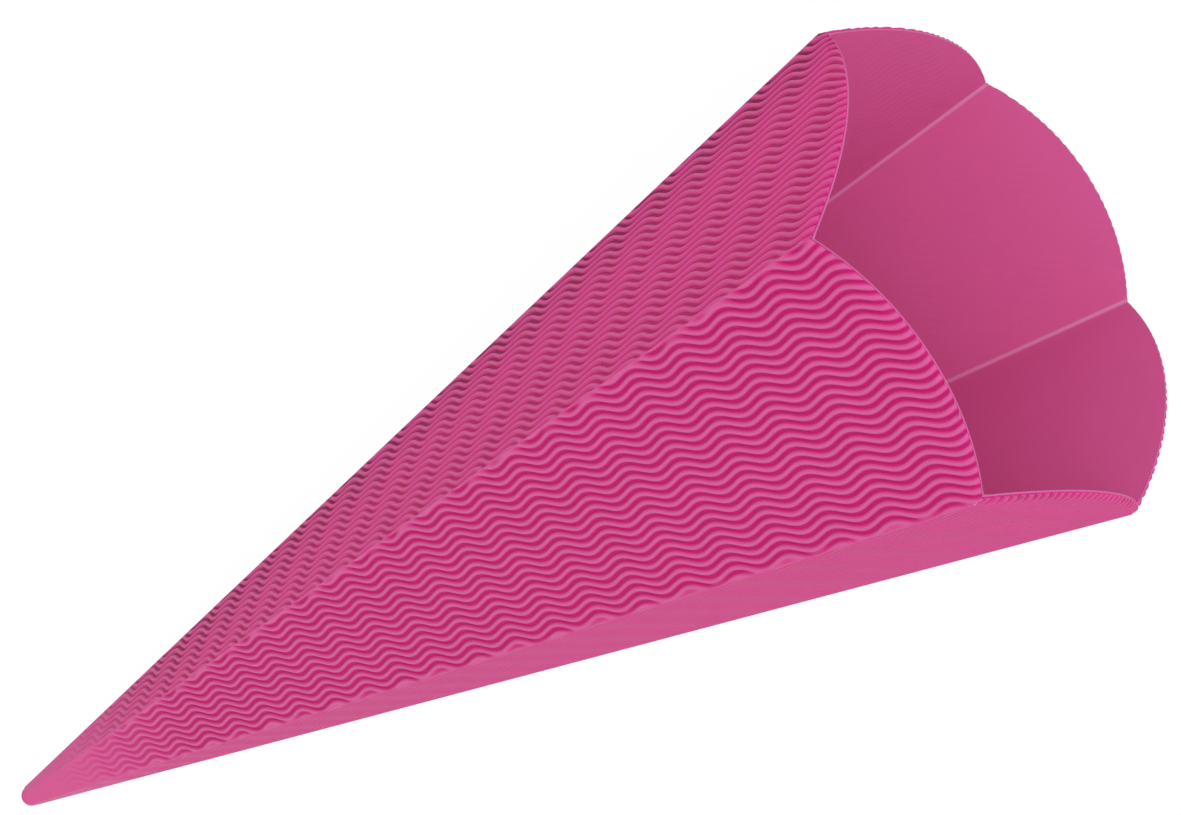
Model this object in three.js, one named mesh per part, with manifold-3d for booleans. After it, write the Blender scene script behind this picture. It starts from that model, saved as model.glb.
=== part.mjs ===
// A school cone: a six-sided cone folded from one sheet of single-faced wave board. The smooth
// liner is inside and the wavy flutes are outside. The fan-shaped sheet is creased at its folds,
// closed along the last one, and its rim is cut to a shallow arc on each panel.
// Millimetres, +Z up. The cone lies on the flutes of one panel, with its tip towards -X and its
// mouth towards +X, and its box is centred over the origin.

import * as THREE from 'three';
import { mergeVertices } from 'three/addons/utils/BufferGeometryUtils.js';
import Module from 'manifold-3d';

const wasm = await Module();
wasm.setup();

// The sheet
const panelCount = 6;
const foldEdge = 680; // from the point where the folds meet to a rim corner, on the liner
const panelWidth = 104.5; // between neighbouring rim corners, on the liner
const scallopRise = 14; // height of a panel's rim arc above its two corners
const linerThickness = 0.9;

// The flutes: parallel ridges that sway from side to side, all one way across the flat sheet.
// They have every second ridge of the real board, with its wave and its depth.
const flutePitch = 7.5; // from ridge to ridge
const fluteHeight = 2; // from valley to crest
const waveLength = 25.6; // of the sway, along the flutes
const waveSway = 1.75; // to each side of the middle
const alongPanel = 3; // the flutes run down the middle of this panel

// The folds: creasing presses the flutes down, and the sheet's two edges meet along the last one
const creasePress = 0.7; // how far below the crests a crease lies
const seamGap = 0.3;

// The closed end
const tipRadius = 5.6;
const plugEnd = 32; // where the hollow starts, from the point where the folds meet

// How it lies
const restPanel = 1; // counted round the mouth, as alongPanel is

// How the solids are made: tools reach past what they cut, pieces share a little to join, and no
// ridge or valley starts closer to a crease than this share of their spacing
const overrun = 3;
const overlap = 0.1;
const creaseMargin = 0.3;
const tipFlare = 0.04; // how much wider than the folds the tip's bullet shape opens, in radians
const weldDistance = 1e-5;
const rimSegments = 10;
const tipSegments = 24;

// Worked out from the sizes above
const boardThickness = linerThickness + fluteHeight;
const creaseHeight = boardThickness - creasePress;
const panelTurn = 2 * Math.PI / panelCount;
const fanAngle = 2 * Math.asin(panelWidth / 2 / foldEdge);
const mouthRadius = panelWidth / 2 / Math.sin(panelTurn / 2);
const mouthDepth = Math.sqrt(foldEdge ** 2 - mouthRadius ** 2);
const panelSlope = Math.atan(mouthRadius * Math.cos(panelTurn / 2) / mouthDepth);
const cornerSlope = Math.atan(mouthRadius / mouthDepth);
const panelLength = foldEdge * Math.cos(fanAngle / 2);
const outerApex = boardThickness / Math.sin(panelSlope); // how much sooner the crests would meet
const halfWave = waveLength / 2;
const halfPitch = flutePitch / 2;

function toSolid(geometry) {
  geometry.deleteAttribute('normal');
  geometry.deleteAttribute('uv');
  const merged = mergeVertices(geometry, weldDistance);
  const mesh = new wasm.Mesh({
    numProp: 3,
    vertProperties: new Float32Array(merged.attributes.position.array),
    triVerts: new Uint32Array(merged.index.array),
  });
  return new wasm.Manifold(mesh);
}

function toGeometry(solid) {
  const mesh = solid.getMesh();
  const geometry = new THREE.BufferGeometry();
  geometry.setAttribute('position', new THREE.BufferAttribute(mesh.vertProperties, 3));
  geometry.setIndex(new THREE.BufferAttribute(mesh.triVerts, 1));
  const faceted = geometry.toNonIndexed();
  faceted.computeVertexNormals();
  return faceted;
}

// A panel is drawn in its own plane: X runs down its middle from the point where the folds meet,
// Y across it, and Z outwards from the liner's inner face. This turns it to its place round the
// axis of the cone, which is the X axis.
function roundAxis(panel) {
  return new THREE.Matrix4().makeRotationX(-(panel - restPanel) * panelTurn - Math.PI);
}

function panelPlace(panel) {
  return roundAxis(panel).multiply(new THREE.Matrix4().makeRotationY(-panelSlope));
}

// The flat sheet is a fan of panels. Its X follows the flutes, and fold 0 is its first edge.
function foldAngle(fold) {
  return (fold - alongPanel - 0.5) * fanAngle;
}

// A point of the flat sheet that lies inside a panel, once the sheet is folded
function panelPoint(panel, x, y, height) {
  const flat = new THREE.Vector2(x, y).rotateAround(new THREE.Vector2(), -(panel - alongPanel) * fanAngle);
  return new THREE.Vector3(flat.x, flat.y, height).applyMatrix4(panelPlace(panel));
}

// A point of a crease, on the plane that halves its fold. The sheet's first and last edges stop
// short of that plane by half the gap of the seam.
function creasePoint(fold, x) {
  const panel = Math.min(fold, panelCount - 1);
  const side = fold === panel ? -1 : 1;
  const edge = fold === 0 || fold === panelCount ? seamGap / 2 : 0;
  const down = x / Math.cos(foldAngle(fold)) * Math.cos(fanAngle / 2);
  const rise = down * Math.sin(panelSlope) + creaseHeight * Math.cos(panelSlope);
  const across = side * (rise * Math.tan(panelTurn / 2) - edge);
  return new THREE.Vector3(down, across, creaseHeight).applyMatrix4(panelPlace(panel));
}

// One line of points straight across the flutes, at a turn of their wave. Each panel's share runs
// from crease to crease, with a point on every ridge and valley between them.
function acrossSheet(column) {
  const x = column * halfWave;
  const sway = column % 2 === 0 ? waveSway : -waveSway;
  const shares = [];
  for (let panel = 0; panel < panelCount; panel += 1) {
    const from = x * Math.tan(foldAngle(panel));
    const to = x * Math.tan(foldAngle(panel + 1));
    const share = [{ row: -Infinity, point: creasePoint(panel, x) }];
    const firstRow = Math.ceil((from - sway) / halfPitch + creaseMargin);
    const lastRow = Math.floor((to - sway) / halfPitch - creaseMargin);
    for (let row = firstRow; row <= lastRow; row += 1) {
      const height = row % 2 === 0 ? boardThickness : linerThickness;
      share.push({ row, point: panelPoint(panel, x, row * halfPitch + sway, height) });
    }
    share.push({ row: Infinity, point: creasePoint(panel + 1, x) });
    shares.push(share);
  }
  return shares;
}

// The strip of surface between two such lines, joined ridge to ridge and valley to valley
function joinShares(near, far, triangles) {
  let i = 0;
  let j = 0;
  while (i < near.length - 1 || j < far.length - 1) {
    const nearRow = i < near.length - 1 ? near[i + 1].row : Infinity;
    const farRow = j < far.length - 1 ? far[j + 1].row : Infinity;
    const stepNear = i < near.length - 1 && nearRow <= farRow;
    const stepFar = j < far.length - 1 && farRow <= nearRow;
    if (stepFar) {
      triangles.push(near[i].point, far[j].point, far[j + 1].point);
      j += 1;
    }
    if (stepNear) {
      triangles.push(near[i].point, far[j].point, near[i + 1].point);
      i += 1;
    }
  }
}

// The folded sheet's outer face, closed as a solid: filled to the axis, with a fan of triangles
// over each end and down each side of the seam
function flutedCone() {
  const columnCount = Math.ceil((panelLength + scallopRise) / halfWave) + 1;
  const lines = [];
  for (let column = 0; column <= columnCount; column += 1) {
    lines.push(acrossSheet(column));
  }
  const triangles = [];
  const tip = new THREE.Vector3(-outerApex, 0, 0);
  const mouth = new THREE.Vector3(2 * foldEdge, 0, 0);
  for (let column = 0; column < columnCount; column += 1) {
    const near = lines[column];
    const far = lines[column + 1];
    for (let panel = 0; panel < panelCount; panel += 1) {
      joinShares(near[panel], far[panel], triangles);
    }
    const last = panelCount - 1;
    triangles.push(mouth, far[0][0].point, near[0][0].point);
    triangles.push(mouth, near[last].at(-1).point, far[last].at(-1).point);
  }
  const first = lines[0];
  const end = lines[columnCount];
  for (let panel = 0; panel < panelCount; panel += 1) {
    for (let i = 1; i < first[panel].length; i += 1) {
      triangles.push(tip, first[panel][i - 1].point, first[panel][i].point);
    }
    for (let i = 1; i < end[panel].length; i += 1) {
      triangles.push(mouth, end[panel][i].point, end[panel][i - 1].point);
    }
  }
  triangles.push(mouth, first[0][0].point, tip);
  triangles.push(mouth, tip, first[panelCount - 1].at(-1).point);
  return new THREE.BufferGeometry().setFromPoints(triangles);
}

// The glued seam: a thin fin on the plane of the last fold fills it up to the liner's outer face
function seamFill() {
  const reach = mouthDepth + scallopRise + overrun;
  const radius = reach * Math.tan(cornerSlope) + linerThickness / Math.cos(panelTurn / 2);
  const fin = new THREE.Shape([
    new THREE.Vector2(0, 0),
    new THREE.Vector2(reach, 0),
    new THREE.Vector2(reach, radius),
    new THREE.Vector2(0, linerThickness / Math.cos(panelTurn / 2)),
  ]);
  const width = seamGap + 2 * overlap;
  const solid = new THREE.ExtrudeGeometry(fin, { depth: width, bevelEnabled: false });
  solid.translate(0, 0, -width / 2);
  return solid.rotateX(Math.PI / 2 + panelTurn / 2).applyMatrix4(roundAxis(0));
}

// What the rim's cutting die leaves of one panel: all of it up to an arc through its two corners
function panelDie(panel) {
  const sideReach = panelWidth / 2 + boardThickness + overrun;
  const rimRadius = ((panelWidth / 2) ** 2 + scallopRise ** 2) / (2 * scallopRise);
  const rimCentre = panelLength + scallopRise - rimRadius;
  const rimAngle = Math.asin(sideReach / rimRadius);
  const outline = new THREE.Shape();
  outline.absarc(rimCentre, 0, rimRadius, -rimAngle, rimAngle, false);
  outline.lineTo(-outerApex, sideReach);
  outline.lineTo(-outerApex, -sideReach);
  outline.closePath();
  const depth = mouthRadius + boardThickness + 2 * overrun;
  const die = new THREE.ExtrudeGeometry(outline, { depth, bevelEnabled: false, curveSegments: rimSegments });
  die.translate(0, 0, boardThickness + overrun - depth);
  return toSolid(die.applyMatrix4(panelPlace(panel))).intersect(toSolid(panelSector(panel)));
}

// Neighbouring panels meet on the plane that halves their fold, so each keeps to its own sector
// round the axis, and a little more to join them
function panelSector(panel) {
  const reach = 2 * mouthRadius;
  const halfWidth = reach * Math.tan(panelTurn / 2);
  const drop = overlap / Math.sin(panelTurn / 2);
  const sector = new THREE.Shape([
    new THREE.Vector2(0, -drop),
    new THREE.Vector2(halfWidth, reach - drop),
    new THREE.Vector2(-halfWidth, reach - drop),
  ]);
  const depth = outerApex + foldEdge + scallopRise + 2 * overrun;
  const solid = new THREE.ExtrudeGeometry(sector, { depth, bevelEnabled: false });
  solid.translate(0, 0, -outerApex);
  const alongAxis = new THREE.Matrix4().makeBasis(
    new THREE.Vector3(0, 1, 0),
    new THREE.Vector3(0, 0, 1),
    new THREE.Vector3(1, 0, 0),
  );
  return solid.applyMatrix4(alongAxis).applyMatrix4(roundAxis(panel));
}

// The end is pressed round. Everything outside this bullet shape goes.
function tipEnvelope() {
  const opening = cornerSlope + tipFlare;
  const centre = tipRadius / Math.sin(panelSlope) - outerApex;
  const steps = tipSegments / 4;
  const profile = [];
  for (let i = 0; i <= steps; i += 1) {
    const angle = (Math.PI / 2 - opening) * i / steps;
    profile.push(new THREE.Vector2(tipRadius * Math.sin(angle), centre - tipRadius * Math.cos(angle)));
  }
  const last = profile.at(-1);
  const mouthEnd = mouthDepth + scallopRise + 2 * overrun;
  profile.push(new THREE.Vector2(last.x + (mouthEnd - last.y) * Math.tan(opening), mouthEnd));
  profile.push(new THREE.Vector2(0, mouthEnd));
  return new THREE.LatheGeometry(profile, tipSegments).rotateZ(-Math.PI / 2);
}

// The hollow, as far as the plug of pressed board in the tip
function hollow() {
  const mouthEnd = mouthDepth + scallopRise + 3 * overrun;
  const spread = mouthRadius / mouthDepth;
  const length = mouthEnd - plugEnd;
  const cone = new THREE.CylinderGeometry(
    plugEnd * spread, mouthEnd * spread, length, panelCount, 1, false, Math.PI / 2,
  );
  return cone.rotateZ(Math.PI / 2).translate(plugEnd + length / 2, 0, 0);
}

function foldedCone() {
  let die = panelDie(0);
  for (let panel = 1; panel < panelCount; panel += 1) {
    die = die.add(panelDie(panel));
  }
  const sheet = toSolid(flutedCone()).add(toSolid(seamFill()));
  const cut = sheet.intersect(die).intersect(toSolid(tipEnvelope()));
  return cut.subtract(toSolid(hollow()));
}

const waveBoard = new THREE.MeshStandardMaterial({ color: 0xcd4b85, roughness: 0.8, metalness: 0 });

const cone = new THREE.Mesh(toGeometry(foldedCone()), waveBoard);
cone.name = 'folded_cone';
cone.rotation.y = -panelSlope;
cone.position.z = boardThickness;

const box = new THREE.Box3().setFromObject(cone, true);
const middle = box.getCenter(new THREE.Vector3());
cone.position.x -= middle.x;
cone.position.y -= middle.y;

const schoolCone = new THREE.Group();
schoolCone.add(cone);

export default schoolCone;
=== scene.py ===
# A school cone folded from one sheet of pink wave board, lying on the flutes of one panel with its
# tip towards -X and its mouth towards +X. Lengths are in metres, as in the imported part.
import math

import bmesh
import bpy
from mathutils import Matrix, Vector


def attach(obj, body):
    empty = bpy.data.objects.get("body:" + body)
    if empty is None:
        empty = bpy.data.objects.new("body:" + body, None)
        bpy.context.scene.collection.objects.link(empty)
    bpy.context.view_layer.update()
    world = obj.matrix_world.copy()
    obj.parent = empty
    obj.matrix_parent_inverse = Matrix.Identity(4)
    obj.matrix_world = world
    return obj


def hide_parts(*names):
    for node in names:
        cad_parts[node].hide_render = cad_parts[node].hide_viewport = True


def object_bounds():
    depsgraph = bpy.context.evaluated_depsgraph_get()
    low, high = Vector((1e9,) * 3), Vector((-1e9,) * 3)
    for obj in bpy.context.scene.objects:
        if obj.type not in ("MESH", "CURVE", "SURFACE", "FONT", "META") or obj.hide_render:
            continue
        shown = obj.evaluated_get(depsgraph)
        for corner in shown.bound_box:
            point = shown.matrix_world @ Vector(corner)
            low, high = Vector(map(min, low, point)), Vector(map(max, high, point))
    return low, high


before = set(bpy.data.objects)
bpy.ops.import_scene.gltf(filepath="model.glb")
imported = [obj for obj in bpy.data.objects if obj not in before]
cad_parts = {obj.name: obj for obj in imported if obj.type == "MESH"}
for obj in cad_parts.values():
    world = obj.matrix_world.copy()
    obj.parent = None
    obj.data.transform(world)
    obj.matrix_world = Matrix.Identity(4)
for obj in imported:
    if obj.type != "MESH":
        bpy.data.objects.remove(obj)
part_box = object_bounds()


# The camera
# It looks down on the mouth from beyond it, so that the cone runs from the lower left of the
# picture to the upper right. Its place and lens were fitted to the six rim corners and the tip.
CAMERA_PLACE = (0.5842, 0.1162, 0.8714)
CAMERA_TURN = (-21.65, 21.29, -36.87)
CAMERA_LENS = 67.73

camera_data = bpy.data.cameras.new("camera")
camera_data.lens = CAMERA_LENS
camera = bpy.data.objects.new("camera", camera_data)
camera.location = CAMERA_PLACE
camera.rotation_euler = [math.radians(turn) for turn in CAMERA_TURN]
bpy.context.scene.collection.objects.link(camera)
bpy.context.scene.camera = camera


# The folded sheet
# One fan-shaped sheet of single-faced wave board: a smooth liner inside, a fluted paper glued to
# it outside. It is creased into six panels, and its two edges meet along the last fold. Heights
# are measured outwards from the liner's inner face.
MM = 0.001
PANELS = 6
FOLD_EDGE = 680 * MM
PANEL_WIDTH = 104.5 * MM
SCALLOP_RISE = 14 * MM
LINER = 0.6 * MM
VALLEY = 0.9 * MM
CREST = 2.9 * MM
CREASE = 2.7 * MM
PLUG_END = 32 * MM
ALONG_PANEL = 3
REST_PANEL = 1

PANEL_TURN = 2 * math.pi / PANELS
FAN_ANGLE = 2 * math.asin(PANEL_WIDTH / 2 / FOLD_EDGE)
MOUTH_RADIUS = PANEL_WIDTH / 2 / math.sin(PANEL_TURN / 2)
MOUTH_DEPTH = math.sqrt(FOLD_EDGE ** 2 - MOUTH_RADIUS ** 2)
SLOPE = math.atan(MOUTH_RADIUS * math.cos(PANEL_TURN / 2) / MOUTH_DEPTH)
PANEL_LENGTH = FOLD_EDGE * math.cos(FAN_ANGLE / 2)
RIM_RADIUS = ((PANEL_WIDTH / 2) ** 2 + SCALLOP_RISE ** 2) / (2 * SCALLOP_RISE)
RIM_CENTRE = PANEL_LENGTH + SCALLOP_RISE - RIM_RADIUS

# The point where the folds meet, found from the mouth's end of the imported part
rim_end = PANEL_LENGTH + SCALLOP_RISE
APEX = Vector((part_box[1][0] - rim_end, 0, CREST))


def panel_place(panel):
    """From a panel's own plane (X down its middle, Z outwards) to its place in the part."""
    slope = Matrix.Rotation(-SLOPE, 4, "Y")
    turn = Matrix.Rotation(-(panel - REST_PANEL) * PANEL_TURN - math.pi, 4, "X")
    return Matrix.Translation(APEX) @ slope @ turn @ slope


def half_width(down, height):
    """Half the width of a panel at a height over the liner's inner face, up to the fold's plane."""
    return (down * math.sin(SLOPE) + height * math.cos(SLOPE)) * math.tan(PANEL_TURN / 2)


def add_piece(name, mesh, *materials):
    """One piece of the cone, in the materials that its mesh hasn't got yet."""
    piece = bpy.data.objects.new(name, mesh)
    bpy.context.scene.collection.objects.link(piece)
    for material in materials:
        mesh.materials.append(material)
    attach(piece, "root")
    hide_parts("folded_cone")


# The dyed paper
# Both papers are dyed through and have a short felted fibre, which shows as fine mottling and a
# slight tooth. Every finish below uses this group.
FIBRE_SCALE = 1600.0
CLOUD_SCALE = 45.0
CLOUD_SHARE = 0.7
CONTRAST = 0.1


def srgb(red, green, blue):
    """A colour as Blender wants it, from its 0 to 255 screen values."""
    channels = []
    for value in (red, green, blue):
        share = value / 255
        channels.append(share / 12.92 if share <= 0.04045 else ((share + 0.055) / 1.055) ** 2.4)
    return (*channels, 1)


def place_node(tree, kind, **settings):
    node = tree.nodes.new(kind)
    for name, value in settings.items():
        setattr(node, name, value)
    return node


def plug(tree, node, inputs):
    """Sets or links a node's inputs, given by name or number."""
    for key, value in inputs.items():
        if isinstance(value, bpy.types.NodeSocket):
            tree.links.new(value, node.inputs[key])
        else:
            node.inputs[key].default_value = value


def noise_value(tree, vector, scale, detail):
    noise = place_node(tree, "ShaderNodeTexNoise")
    plug(tree, noise, {"Vector": vector, "Scale": scale, "Detail": detail, "Roughness": 0.6})
    return noise.outputs["Fac"]


def paper_fibre_group():
    """Outputs a tone that varies about 1, and a height for bump."""
    group = bpy.data.node_groups.new("paper_fibre", "ShaderNodeTree")
    sizes = {"Fibre Scale": FIBRE_SCALE, "Cloud Scale": CLOUD_SCALE, "Contrast": CONTRAST}
    for name, default in sizes.items():
        socket = group.interface.new_socket(name, in_out="INPUT", socket_type="NodeSocketFloat")
        socket.default_value = default
    for name in ("Tone", "Height"):
        group.interface.new_socket(name, in_out="OUTPUT", socket_type="NodeSocketFloat")
    given = place_node(group, "NodeGroupInput")
    result = place_node(group, "NodeGroupOutput")
    place = place_node(group, "ShaderNodeTexCoord").outputs["Object"]
    fibres = noise_value(group, place, given.outputs["Fibre Scale"], 4)
    clouds = noise_value(group, place, given.outputs["Cloud Scale"], 3)
    both = place_node(group, "ShaderNodeMath", operation="MULTIPLY_ADD")
    plug(group, both, {0: clouds, 1: CLOUD_SHARE, 2: fibres})
    centred = place_node(group, "ShaderNodeMath", operation="SUBTRACT")
    plug(group, centred, {0: both.outputs[0], 1: (1 + CLOUD_SHARE) / 2})
    tone = place_node(group, "ShaderNodeMath", operation="MULTIPLY_ADD")
    plug(group, tone, {0: centred.outputs[0], 1: given.outputs["Contrast"], 2: 1.0})
    plug(group, result, {"Tone": tone.outputs[0], "Height": fibres})
    return group


paper_fibre = paper_fibre_group()


def paper_material(name, roughness, contrast, relief):
    """A dyed paper whose colour is still to be plugged in. Returns it with its tree and shader."""
    material = bpy.data.materials.new(name)
    material.use_nodes = True
    tree = material.node_tree
    shader = tree.nodes["Principled BSDF"]
    plug(tree, shader, {"Roughness": roughness, "Specular IOR Level": 0.25})
    fibre = place_node(tree, "ShaderNodeGroup", node_tree=paper_fibre)
    plug(tree, fibre, {"Contrast": contrast})
    bump = place_node(tree, "ShaderNodeBump")
    plug(tree, bump, {"Height": fibre.outputs["Height"], "Distance": relief, "Strength": 0.6})
    plug(tree, shader, {"Normal": bump.outputs["Normal"]})
    return material, tree, shader, fibre.outputs["Tone"]


def math_node(tree, operation, *values):
    node = place_node(tree, "ShaderNodeMath", operation=operation)
    plug(tree, node, dict(enumerate(values)))
    return node.outputs[0]


def tinted(tree, colour, tone):
    """A colour made lighter and darker by the paper's tone."""
    scale = place_node(tree, "ShaderNodeVectorMath", operation="SCALE")
    plug(tree, scale, {0: colour, "Scale": tone})
    return scale.outputs["Vector"]


def attribute_value(tree, name):
    return place_node(tree, "ShaderNodeAttribute", attribute_name=name).outputs["Fac"]


def colour_ramp(tree, factor, stops):
    """A ramp from (place, colour) stops."""
    ramp = place_node(tree, "ShaderNodeValToRGB")
    elements = ramp.color_ramp.elements
    while len(elements) < len(stops):
        elements.new(1)
    for element, (place, colour) in zip(elements, stops):
        element.position = place
        element.color = colour
    plug(tree, ramp, {"Fac": factor})
    return ramp.outputs["Color"]


# The liner
# The smooth paper inside, one skin for all six panels, laid out in rows from tip to rim. Each
# crease is raised a little and painted paler, a painted highlight where the rounded crease
# catches the light, and the flutes glued behind it print through very faintly.
LINER_COLOUR = srgb(214, 92, 154)
CREASE_HIGHLIGHT_COLOUR = srgb(226, 138, 186)
EDGE_COLOUR = srgb(184, 100, 150)
CREASE_HALF_WIDTH = 2.3 * MM
CREASE_LIFT = 0.35 * MM
LINER_ROWS = 24
LINER_COLUMNS = 20
LINER_VALUES = ("fold", "along", "across")
RIM_TRIES = 5
PITCH = 3.75 * MM
WAVE = 25.6 * MM
SWAY = 1.75 * MM
PRINT_THROUGH = 0.015 * MM
SHARP_EDGE = math.radians(70)


def liner_material():
    material, tree, shader, tone = paper_material("liner_paper", 0.7, 0.07, 0.04 * MM)
    # Paler along each crease: a painted highlight.
    colour = colour_ramp(tree, attribute_value(tree, "fold"), (
        (0.0, LINER_COLOUR),
        (0.45, LINER_COLOUR),
        (0.8, CREASE_HIGHLIGHT_COLOUR),
        (1.0, CREASE_HIGHLIGHT_COLOUR),
    ))
    plug(tree, shader, {"Base Color": tinted(tree, colour, tone)})
    turn = math_node(tree, "MULTIPLY", attribute_value(tree, "along"), 2 * math.pi / WAVE)
    sway = math_node(tree, "MULTIPLY", math_node(tree, "COSINE", turn), SWAY)
    flat_across = math_node(tree, "SUBTRACT", attribute_value(tree, "across"), sway)
    pitch_turn = math_node(tree, "MULTIPLY", flat_across, 2 * math.pi / PITCH)
    print_through = math_node(tree, "COSINE", pitch_turn)
    bump = place_node(tree, "ShaderNodeBump")
    fibre_normal = shader.inputs["Normal"].links[0].from_socket
    plug(tree, bump, {"Height": print_through, "Distance": PRINT_THROUGH, "Normal": fibre_normal})
    plug(tree, shader, {"Normal": bump.outputs["Normal"]})
    return material


def edge_material(name, colour):
    material, tree, shader, tone = paper_material(name, 0.85, 0.1, 0.1 * MM)
    shade = place_node(tree, "ShaderNodeRGB")
    shade.outputs[0].default_value = colour
    plug(tree, shader, {"Base Color": tinted(tree, shade.outputs[0], tone)})
    return material


cut_edge = edge_material("cut_edge", EDGE_COLOUR)


def rim_at(across):
    """How far down a panel its rim arc lies, at a distance from its middle."""
    return RIM_CENTRE + math.sqrt(RIM_RADIUS ** 2 - across ** 2)


def across_panel(down, height, column):
    """A line's place across a panel: column 0 is the crease, and the others are evenly spaced
    between the soft edges of this crease and the next."""
    if column == 0:
        return -half_width(down, height)
    share = 2 * (column - 1) / LINER_COLUMNS - 1
    return share * (half_width(down, height) - CREASE_HALF_WIDTH)


def line_end(height, column):
    """How far down its panel a line meets the rim arc, found by closing in on it."""
    end = PANEL_LENGTH
    for _ in range(RIM_TRIES):
        end = rim_at(across_panel(end, height, column))
    return end


def add_skin(sheet, height, lift):
    """One face of the liner, as a list of lines of vertices round the whole cone."""
    fold, along, across = (sheet.verts.layers.float[name] for name in LINER_VALUES)
    lines = []
    for panel in range(PANELS):
        place = panel_place(panel)
        slant = (panel - ALONG_PANEL) * FAN_ANGLE
        for column in range(LINER_COLUMNS + 2):
            at_crease = column == 0
            level = height - lift if at_crease else height
            end = line_end(height, column)
            line = []
            for row in range(LINER_ROWS + 1):
                down = PLUG_END + (end - PLUG_END) * row / LINER_ROWS
                side = across_panel(down, height, column)
                vert = sheet.verts.new(place @ Vector((down, side, level)))
                vert[fold] = float(at_crease)
                vert[along] = down * math.cos(slant) - side * math.sin(slant)
                vert[across] = down * math.sin(slant) + side * math.cos(slant)
                line.append(vert)
            lines.append(line)
    return lines


def liner_mesh():
    sheet = bmesh.new()
    for name in LINER_VALUES:
        sheet.verts.layers.float.new(name)
    inner = add_skin(sheet, 0, CREASE_LIFT)
    outer = add_skin(sheet, LINER, 0)
    for number, inside in enumerate(inner):
        following = (number + 1) % len(inner)
        next_inside = inner[following]
        outside = outer[number]
        next_outside = outer[following]
        for row in range(LINER_ROWS):
            sheet.faces.new((inside[row], inside[row + 1], next_inside[row + 1], next_inside[row]))
            sheet.faces.new((outside[row], next_outside[row], next_outside[row + 1], outside[row + 1]))
        rim = sheet.faces.new((inside[-1], outside[-1], next_outside[-1], next_inside[-1]))
        rim.material_index = 1
    sheet.faces.new([line[0] for line in inner])
    sheet.faces.new([line[0] for line in reversed(outer)])
    bmesh.ops.recalc_face_normals(sheet, faces=sheet.faces)
    for face in sheet.faces:
        face.smooth = face.material_index == 0
    for edge in sheet.edges:
        if edge.calc_face_angle(0) > SHARP_EDGE:
            edge.smooth = False
    mesh = bpy.data.meshes.new("liner")
    sheet.to_mesh(mesh)
    sheet.free()
    return mesh


add_piece("liner", liner_mesh(), liner_material(), cut_edge)


# The flutes
# The corrugated paper outside. All its ridges sway together and run one way across the flat
# sheet, so they slant differently on each panel. One tree bends a grid to them and draws it in to
# the panel's edge, where the creasing has pressed them level. Walls and a back then close it.
# Their colour paints the relief's light and shade: darker grooves (painted shade) and paler crests
# (painted highlight).
STEPS_ACROSS = 8
STEPS_ALONG = 12
RIDGE_FULLNESS = 0.6
PRESS_WIDTH = 2.2 * MM
PRESS_SWING = 0.4
RIM_WIDTH = 2.5 * MM
RIM_SHARE = 0.45
SEAM_GAP = 0.3 * MM
SEAM_SHADE_WIDTH = 30 * MM
GROOVE_SHARPNESS = 1.5
FLUTE_START = 20 * MM
TIP_HEIGHT = 2.6 * MM
TIP_TONE = 0.6
# Tones for the painted relief shading: paler where the creases press the flutes level (a painted
# highlight), plainer near the tip.
CREASE_HIGHLIGHT_TONE = 0.75
TIP_FADE = (40 * MM, 215 * MM)
# Dark, saturated grooves and pale crests: painted shade in the grooves and a painted highlight on the
# crests.
GROOVE_SHADE_COLOUR = srgb(198, 5, 116)
FLANK_COLOUR = srgb(210, 52, 132)
CREST_HIGHLIGHT_COLOUR = srgb(210, 88, 150)
# Deep purple for the grooves of the last panel near the seam: painted shade.
SEAM_SHADE_COLOUR = srgb(120, 2, 76)
# Dark pink on the walls that close the open flute ends at the rim: painted shade of the hollow flutes.
FLUTE_END_SHADE_COLOUR = srgb(200, 18, 108)
# The top panel keeps all of the painted shade and highlight; the side panels get less, a painted
# difference in how light falls on them.
TOP_PANEL = 4
SIDE_RELIEF_SHADING = 0.55
PLAIN_TONE = 0.42
MOVED = 1e-7
WELD = 0.02 * MM
SHORTEST_EDGE = 0.001 * MM
RIM_WALL_DEPTH = 0.5 * MM


def smooth_step(tree, value, low, high):
    node = place_node(tree, "ShaderNodeMapRange", interpolation_type="SMOOTHSTEP")
    plug(tree, node, {"Value": value, "From Min": low, "From Max": high})
    return node.outputs["Result"]


def blend(tree, factor, low, high):
    node = place_node(tree, "ShaderNodeMix", data_type="FLOAT")
    plug(tree, node, {0: factor, 2: low, 3: high})
    return node.outputs[0]


FLUTE_INPUTS = {
    "Slant": 0.0,
    "Pitch": PITCH,
    "Wave Length": WAVE,
    "Sway": SWAY,
    "Fullness": RIDGE_FULLNESS,
    "Valley Height": VALLEY,
    "Crest Height": CREST,
    "Crease Height": CREASE,
    "Press Width": PRESS_WIDTH,
    "Press Swing": PRESS_SWING,
    "Liner Height": LINER,
    "Rim Width": RIM_WIDTH,
    "Rim Share": RIM_SHARE,
    "Left Gap": 0.0,
    "Right Gap": 0.0,
    "Seam Shade": 0.0,
    "Relief Shading Share": 1.0,
}


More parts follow.
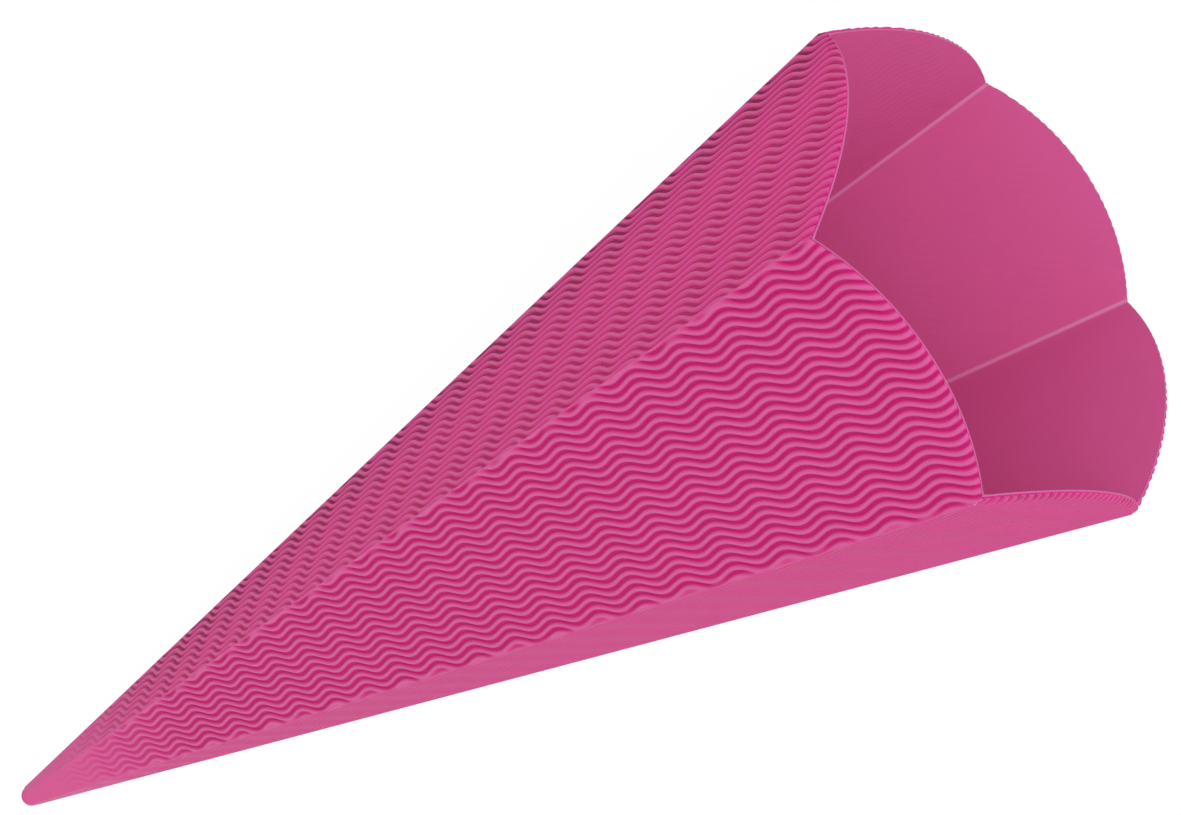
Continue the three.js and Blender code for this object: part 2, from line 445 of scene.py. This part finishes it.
def flute_tree():
    """A panel of flutes in its own plane. A grid that follows the flutes is bent to their sway and
    turned by the slant. Its outer points are then drawn in to the folds and the rim arc."""
    tree = bpy.data.node_groups.new("wave_flutes", "GeometryNodeTree")
    for name in ("Columns", "Rows", "First Row"):
        tree.interface.new_socket(name, in_out="INPUT", socket_type="NodeSocketInt")
    for name, default in FLUTE_INPUTS.items():
        socket = tree.interface.new_socket(name, in_out="INPUT", socket_type="NodeSocketFloat")
        socket.default_value = default
    tree.interface.new_socket("Paper", in_out="INPUT", socket_type="NodeSocketMaterial")
    tree.interface.new_socket("Flutes", in_out="OUTPUT", socket_type="NodeSocketGeometry")
    given = place_node(tree, "NodeGroupInput").outputs

    def calc(operation, *values):
        return math_node(tree, operation, *values)

    # The flat sheet: where each point lies along and across the flutes
    grid = place_node(tree, "GeometryNodeMeshGrid")
    plug(tree, grid, {
        "Size X": calc("SUBTRACT", given["Columns"], 1),
        "Size Y": calc("SUBTRACT", given["Rows"], 1),
        "Vertices X": given["Columns"],
        "Vertices Y": given["Rows"],
    })
    place = place_node(tree, "ShaderNodeSeparateXYZ")
    plug(tree, place, {0: place_node(tree, "GeometryNodeInputPosition").outputs[0]})
    half_columns = calc("DIVIDE", calc("SUBTRACT", given["Columns"], 1), 2)
    half_rows = calc("DIVIDE", calc("SUBTRACT", given["Rows"], 1), 2)
    column = calc("ADD", place.outputs["X"], half_columns)
    row = calc("ADD", calc("ADD", place.outputs["Y"], half_rows), given["First Row"])
    along = calc("MULTIPLY", column, calc("DIVIDE", given["Wave Length"], STEPS_ALONG))
    flat_across = calc("MULTIPLY", row, calc("DIVIDE", given["Pitch"], STEPS_ACROSS))
    wave_turn = calc("MULTIPLY", calc("DIVIDE", along, given["Wave Length"]), 2 * math.pi)
    across = calc("ADD", flat_across, calc("MULTIPLY", calc("COSINE", wave_turn), given["Sway"]))
    pitch_turn = calc("MULTIPLY", calc("DIVIDE", flat_across, given["Pitch"]), 2 * math.pi)
    rounded = calc("MULTIPLY_ADD", calc("COSINE", pitch_turn), 0.499, 0.501)
    ridge = calc("POWER", rounded, given["Fullness"])

    # The panel's own plane: down its middle, and to the side
    cosine = calc("COSINE", given["Slant"])
    sine = calc("SINE", given["Slant"])
    down = calc("ADD", calc("MULTIPLY", along, cosine), calc("MULTIPLY", across, sine))
    side = calc("SUBTRACT", calc("MULTIPLY", across, cosine), calc("MULTIPLY", along, sine))
    inside_arc = calc("MINIMUM", calc("ABSOLUTE", side), RIM_RADIUS)
    arc_square = calc("SUBTRACT", RIM_RADIUS ** 2, calc("POWER", inside_arc, 2))
    rim = calc("ADD", calc("SQRT", arc_square), RIM_CENTRE)
    kept_down = calc("MAXIMUM", calc("MINIMUM", down, rim), FLUTE_START)

    # What the presses leave of a height over the liner, near the tip and at the cut rim
    from_tip = smooth_step(tree, kept_down, *TIP_FADE)
    from_rim = smooth_step(tree, calc("SUBTRACT", rim, kept_down), 0, given["Rim Width"])
    rim_share = blend(tree, from_rim, given["Rim Share"], 1.0)

    def pressed(height):
        near_tip = blend(tree, from_tip, TIP_HEIGHT, height)
        over_liner = calc("SUBTRACT", near_tip, given["Liner Height"])
        return calc("MULTIPLY_ADD", over_liner, rim_share, given["Liner Height"])

    # The folds, where this panel and the next meet at the height that the crease leaves
    at_crease = pressed(given["Crease Height"])

    def folds(height):
        rise = calc("MULTIPLY", height, math.cos(SLOPE))
        reach = calc("MULTIPLY_ADD", kept_down, math.sin(SLOPE), rise)
        fold = calc("MULTIPLY", reach, math.tan(PANEL_TURN / 2))
        return calc("SUBTRACT", given["Left Gap"], fold), calc("SUBTRACT", fold, given["Right Gap"])

    def held_between(place_across, left, right):
        return calc("MAXIMUM", calc("MINIMUM", place_across, right), left)

    left, right = folds(at_crease)
    kept_side = held_between(side, left, right)

    # Ridges and valleys, levelled towards the creases, and the values that the painted relief shading
    # follows
    from_left = calc("SUBTRACT", kept_side, left)
    from_right = calc("SUBTRACT", right, kept_side)
    from_fold = calc("MINIMUM", from_left, from_right)
    swing = calc("MULTIPLY_ADD", calc("COSINE", wave_turn), given["Press Swing"], 1.0)
    free = smooth_step(tree, from_fold, 0, calc("MULTIPLY", swing, given["Press Width"]))
    height = blend(tree, ridge, given["Valley Height"], given["Crest Height"])
    final = blend(tree, free, at_crease, pressed(height))
    relief_shading = blend(tree, given["Relief Shading Share"], PLAIN_TONE, blend(tree, free, CREASE_HIGHLIGHT_TONE, ridge))
    depth = blend(tree, from_tip, TIP_TONE, relief_shading)
    # Painted shade in the grooves near the seam, fading out towards the tip.
    near_seam = calc("SUBTRACT", 1.0, smooth_step(tree, from_right, 0, SEAM_SHADE_WIDTH))
    groove = calc("POWER", calc("SUBTRACT", 1.0, ridge), GROOVE_SHARPNESS)
    seam_shade = calc("MULTIPLY", near_seam, given["Seam Shade"])
    shade = calc("MULTIPLY", seam_shade, calc("MULTIPLY", groove, from_tip))

    # Cells wholly outside the panel go, and the rest are drawn in to its edge
    moved_down = calc("ABSOLUTE", calc("SUBTRACT", down, kept_down))
    moved_side = calc("ABSOLUTE", calc("SUBTRACT", side, kept_side))
    outside = place_node(tree, "FunctionNodeCompare", operation="GREATER_THAN", data_type="FLOAT")
    plug(tree, outside, {0: calc("ADD", moved_down, moved_side), 1: MOVED})
    by_corner = place_node(tree, "GeometryNodeFieldOnDomain", domain="POINT", data_type="BOOLEAN")
    plug(tree, by_corner, {0: outside.outputs[0]})
    trimmed = place_node(tree, "GeometryNodeDeleteGeometry", domain="FACE")
    plug(tree, trimmed, {"Geometry": grid.outputs["Mesh"], "Selection": by_corner.outputs[0]})
    stored = place_node(tree, "GeometryNodeStoreNamedAttribute", data_type="FLOAT", domain="POINT")
    plug(tree, stored, {"Geometry": trimmed.outputs[0], "Name": "ridge", "Value": depth})
    shaded = place_node(tree, "GeometryNodeStoreNamedAttribute", data_type="FLOAT", domain="POINT")
    plug(tree, shaded, {"Geometry": stored.outputs[0], "Name": "shade", "Value": shade})
    target = place_node(tree, "ShaderNodeCombineXYZ")
    final_side = held_between(kept_side, *folds(final))
    plug(tree, target, {"X": kept_down, "Y": final_side, "Z": final})
    bent = place_node(tree, "GeometryNodeSetPosition")
    plug(tree, bent, {"Geometry": shaded.outputs[0], "Position": target.outputs[0]})
    welded = place_node(tree, "GeometryNodeMergeByDistance")
    plug(tree, welded, {"Geometry": bent.outputs[0], "Distance": WELD})
    smooth = place_node(tree, "GeometryNodeSetShadeSmooth")
    plug(tree, smooth, {"Geometry": welded.outputs[0]})
    realized = place_node(tree, "GeometryNodeRealizeInstances")
    plug(tree, realized, {"Geometry": smooth.outputs[0]})
    painted = place_node(tree, "GeometryNodeSetMaterial")
    plug(tree, painted, {"Geometry": realized.outputs[0], "Material": given["Paper"]})
    plug(tree, place_node(tree, "NodeGroupOutput"), {0: painted.outputs[0]})
    return tree


def flute_material():
    material, tree, shader, tone = paper_material("fluted_paper", 0.5, 0.08, 0.06 * MM)
    # Colour by the ridge value: painted shade in the grooves, painted highlight on the crests.
    colour = colour_ramp(tree, attribute_value(tree, "ridge"), (
        (0.15, GROOVE_SHADE_COLOUR),
        (0.5, FLANK_COLOUR),
        (0.85, CREST_HIGHLIGHT_COLOUR),
        (1.0, CREST_HIGHLIGHT_COLOUR),
    ))
    # Mixed towards deep purple where the painted seam shade lies.
    shaded = place_node(tree, "ShaderNodeMix", data_type="RGBA")
    plug(tree, shaded, {0: attribute_value(tree, "shade"), 6: colour, 7: SEAM_SHADE_COLOUR})
    plug(tree, shader, {"Base Color": tinted(tree, shaded.outputs[2], tone)})
    return material


def sheet_reach(slant):
    """The part of the flat sheet that holds one panel, as columns, rows and the first row."""
    far = PANEL_LENGTH + SCALLOP_RISE
    wide = half_width(far, CREST)
    corners = [(0, -wide), (0, wide), (far, -wide), (far, wide)]
    along = [down * math.cos(slant) - side * math.sin(slant) for down, side in corners]
    across = [down * math.sin(slant) + side * math.cos(slant) for down, side in corners]
    columns = math.ceil(max(along) / (WAVE / STEPS_ALONG)) + 2
    first_row = math.floor((min(across) - SWAY) / (PITCH / STEPS_ACROSS)) - 1
    last_row = math.ceil((max(across) + SWAY) / (PITCH / STEPS_ACROSS)) + 1
    return columns, last_row - first_row + 1, first_row


def close_back(mesh):
    """Closes a panel of flutes with walls down to the liner and a flat back."""
    sheet = bmesh.new()
    sheet.from_mesh(mesh)
    bmesh.ops.dissolve_degenerate(sheet, edges=sheet.edges, dist=SHORTEST_EDGE)
    border = [edge for edge in sheet.edges if edge.is_boundary]
    for edge in border:
        edge.smooth = False
    walls = bmesh.ops.extrude_edge_only(sheet, edges=border)["geom"]
    ridge_layer = sheet.verts.layers.float["ridge"]
    for part in walls:
        if isinstance(part, bmesh.types.BMVert):
            down, side, height = part.co
            part.co.y = side * half_width(down, LINER) / half_width(down, height)
            part.co.z = LINER
            part[ridge_layer] = 0
        if isinstance(part, bmesh.types.BMFace):
            part.smooth = False
            middle = part.calc_center_median()
            # Rim walls take the painted shade of the open flute ends.
            at_rim = middle.x > rim_at(middle.y) - RIM_WALL_DEPTH
            part.material_index = 1 if at_rim else 0
    back_edges = [edge for edge in sheet.edges if edge.is_boundary]
    bmesh.ops.holes_fill(sheet, edges=back_edges, sides=0)
    bmesh.ops.recalc_face_normals(sheet, faces=sheet.faces)
    sheet.to_mesh(mesh)
    sheet.free()


flutes = flute_tree()
fluted_paper = flute_material()
flute_end_shade = edge_material("flute_end_shade", FLUTE_END_SHADE_COLOUR)


def fluted_panel(panel, name):
    """A panel's plain mesh, in its place in the part."""
    slant = (panel - ALONG_PANEL) * FAN_ANGLE
    columns, rows, first_row = sheet_reach(slant)
    chosen = {
        "Columns": columns,
        "Rows": rows,
        "First Row": first_row,
        "Slant": slant,
        "Left Gap": SEAM_GAP / 2 if panel == 0 else 0.0,
        "Right Gap": SEAM_GAP / 2 if panel == PANELS - 1 else 0.0,
        "Relief Shading Share": 1.0 if panel == TOP_PANEL else SIDE_RELIEF_SHADING,
        "Seam Shade": 1.0 if panel == PANELS - 1 else 0.0,
        "Paper": fluted_paper,
    }
    maker = bpy.data.objects.new(name, bpy.data.meshes.new(name))
    bpy.context.scene.collection.objects.link(maker)
    modifier = maker.modifiers.new("flutes", "NODES")
    modifier.node_group = flutes
    for item in flutes.interface.items_tree:
        if item.in_out == "INPUT" and item.name in chosen:
            modifier[item.identifier] = chosen[item.name]
    ready = maker.evaluated_get(bpy.context.evaluated_depsgraph_get())
    mesh = bpy.data.meshes.new_from_object(ready)
    bpy.data.objects.remove(maker)
    mesh.name = name
    close_back(mesh)
    mesh.transform(panel_place(panel))
    return mesh


for number, letter in enumerate("abcdef"):
    panel_name = f"fluted_panel_{letter}"
    add_piece(panel_name, fluted_panel(number, panel_name), flute_end_shade)


# The tip
# All six panels run together in a plug of pressed board, rounded off to a blunt nose. Its back end
# closes the hollow behind the liner.
NOSE_RADIUS = 5.6 * MM
NOSE_CENTRE = NOSE_RADIUS / math.sin(SLOPE) - CREST / math.sin(SLOPE)
NOSE_SIDES = 72
NOSE_STEPS = 18
NOSE_TURN = math.radians(115)
NOSE_HIDDEN_HEIGHT = 1.4 * MM
NOSE_WAIST = 26 * MM
NOSE_CLEARANCE = 0.3 * MM
NOSE_TONE = 0.6
NOSE_RUB = 0.55
NOSE_MOTTLE = 0.2


def nose_profile():
    """Axial place and radius, from the point of the nose back to the plug's end."""
    profile = []
    for step in range(1, NOSE_STEPS + 1):
        angle = NOSE_TURN * step / NOSE_STEPS
        profile.append((NOSE_CENTRE - NOSE_RADIUS * math.cos(angle), NOSE_RADIUS * math.sin(angle)))
    for place in (NOSE_WAIST, PLUG_END * math.cos(SLOPE) - NOSE_CLEARANCE):
        profile.append((place, place * math.tan(SLOPE) + NOSE_HIDDEN_HEIGHT / math.cos(SLOPE)))
    return profile


def nose_mesh():
    sheet = bmesh.new()
    ridge_layer = sheet.verts.layers.float.new("ridge")
    rings = []
    for place, radius in nose_profile():
        ring = []
        for side in range(NOSE_SIDES):
            angle = 2 * math.pi * side / NOSE_SIDES
            vert = sheet.verts.new((place, radius * math.cos(angle), radius * math.sin(angle)))
            mottle = math.sin(3 * angle + place / MM) * math.sin(2 * angle - place / MM)
            vert[ridge_layer] = NOSE_RUB + NOSE_MOTTLE * mottle
            ring.append(vert)
        rings.append(ring)
    point = sheet.verts.new((NOSE_CENTRE - NOSE_RADIUS, 0, 0))
    point[ridge_layer] = NOSE_TONE
    for side in range(NOSE_SIDES):
        following = (side + 1) % NOSE_SIDES
        sheet.faces.new((point, rings[0][following], rings[0][side]))
        for near, far in zip(rings, rings[1:]):
            sheet.faces.new((near[side], near[following], far[following], far[side]))
    sheet.faces.new(rings[-1])
    bmesh.ops.recalc_face_normals(sheet, faces=sheet.faces)
    for face in sheet.faces:
        face.smooth = len(face.verts) < 5
    mesh = bpy.data.meshes.new("nose")
    sheet.to_mesh(mesh)
    sheet.free()
    mesh.transform(Matrix.Translation(APEX) @ Matrix.Rotation(-SLOPE, 4, "Y"))
    return mesh


add_piece("nose", nose_mesh(), fluted_paper)


# The studio
# A plain white floor under soft light. The camera sees floor and background as white, and the
# floor keeps a faint shadow of the cone.
FLOOR_SIZE = 8
FLOOR_DROP = 0.3 * MM
SOFTBOXES = {
    "mouth_light": ((1.2, -0.05, 1.1), 1.4, 11),
    "back_light": ((-2.0, -0.15, 1.2), 0.9, 9),
}
WORLD_LIGHT = 0.7
FLOOR_COLOUR = srgb(245, 245, 245)
FLOOR_GLOW = 1.03
FLOOR_GLOW_SHARE = 0.92


def white_material():
    material = bpy.data.materials.new("white_floor")
    material.use_nodes = True
    tree = material.node_tree
    shader = tree.nodes["Principled BSDF"]
    plug(tree, shader, {"Base Color": FLOOR_COLOUR, "Roughness": 0.9})
    glow = place_node(tree, "ShaderNodeEmission")
    plug(tree, glow, {"Strength": FLOOR_GLOW})
    path = place_node(tree, "ShaderNodeLightPath")
    share = math_node(tree, "MULTIPLY", path.outputs["Is Camera Ray"], FLOOR_GLOW_SHARE)
    mix = place_node(tree, "ShaderNodeMixShader")
    plug(tree, mix, {0: share, 1: shader.outputs[0], 2: glow.outputs[0]})
    plug(tree, tree.nodes["Material Output"], {"Surface": mix.outputs[0]})
    return material


floor_mesh = bpy.data.meshes.new("floor")
reach = FLOOR_SIZE / 2
floor_corners = [(-reach, -reach), (reach, -reach), (reach, reach), (-reach, reach)]
floor_mesh.from_pydata([(x, y, -FLOOR_DROP) for x, y in floor_corners], [], [(0, 1, 2, 3)])
floor_mesh.materials.append(white_material())
floor = bpy.data.objects.new("floor", floor_mesh)
bpy.context.scene.collection.objects.link(floor)

world = bpy.data.worlds.new("studio")
bpy.context.scene.world = world
world.use_nodes = True
sky = world.node_tree
rays = place_node(sky, "ShaderNodeLightPath").outputs
direct = math_node(sky, "MAXIMUM", rays["Is Camera Ray"], rays["Is Transmission Ray"])
seen = math_node(sky, "MAXIMUM", direct, rays["Is Glossy Ray"])
strength = blend(sky, seen, WORLD_LIGHT, 1.0)
plug(sky, sky.nodes["Background"], {"Color": (1, 1, 1, 1), "Strength": strength})

for name, (place, size, power) in SOFTBOXES.items():
    lamp = bpy.data.lights.new(name, "AREA")
    lamp.energy = power
    lamp.size = size
    softbox = bpy.data.objects.new(name, lamp)
    softbox.location = place
    softbox.rotation_euler = (-Vector(place)).to_track_quat("-Z", "Y").to_euler()
    bpy.context.scene.collection.objects.link(softbox)

bpy.context.scene.view_settings.view_transform = "Standard"
